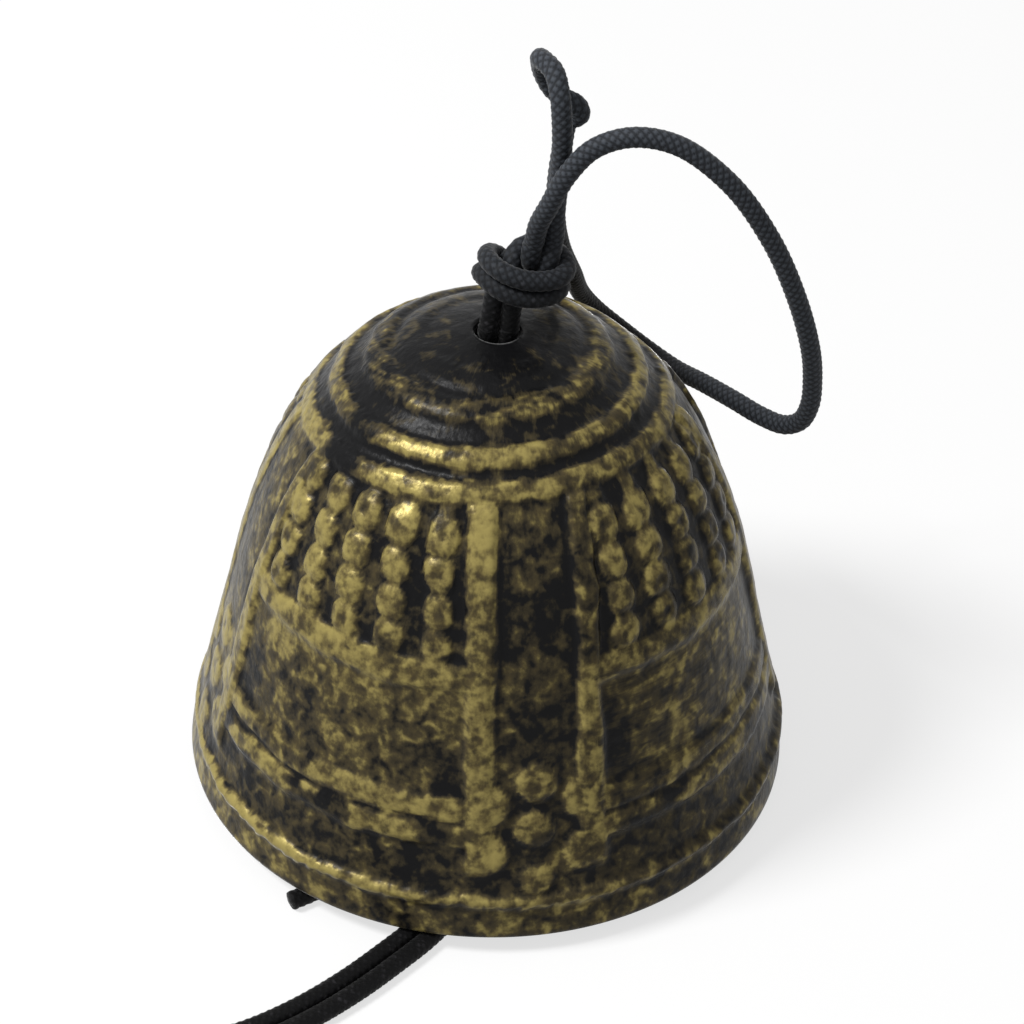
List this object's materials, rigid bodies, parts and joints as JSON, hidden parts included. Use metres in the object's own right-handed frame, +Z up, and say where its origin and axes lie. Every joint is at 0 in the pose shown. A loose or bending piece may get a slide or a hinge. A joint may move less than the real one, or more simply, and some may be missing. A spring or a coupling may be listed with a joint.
{
  "type": "temple bell wind chime",
  "caption": "Small cast-iron temple bell wind chime with raised bosses and bands, a knotted hanging loop and a round clapper on a cord, standing on its rim.",
  "frame": {"origin": "on the surface it stands on, under the middle of the rim", "axes": "+Z up; -Y is the side where the clapper's cords leave under the rim, +X to the right of that side"},
  "size_m": [0.0763, 0.0899, 0.0852],
  "materials": {
    "cast_iron_gilt": "black cast iron with brass-gold colour rubbed over the raised relief",
    "cord_black": "round braided black cord",
    "clapper_iron": "dark cast iron, slightly rough"
  },
  "bodies": {
    "bell": {"bell_shell": "cast_iron_gilt", "strip_cord": "cord_black", "tail_cord": "cord_black"},
    "hanger": {"crown_knot": "cord_black", "hanging_loop": "cord_black", "neck_cords": "cord_black", "stopper_knot": "cord_black"},
    "clapper": {"clapper_line": "cord_black", "clapper": "clapper_iron", "clapper_knot": "cord_black"}
  },
  "joints": [
    {"name": "hanger_swivel", "type": "hinge", "parent": "bell", "child": "hanger", "pos_m": [0.0007, 0.0017, 0.05525], "axis": [0.013, 0.0314, 0.9994], "continuous": true},
    {"name": "clapper_swing", "type": "hinge", "parent": "bell", "child": "clapper", "pos_m": [0.00058, 0.0014, 0.04577], "axis": [0, 1, 0], "range_deg": [-24, 24]}
  ]
}
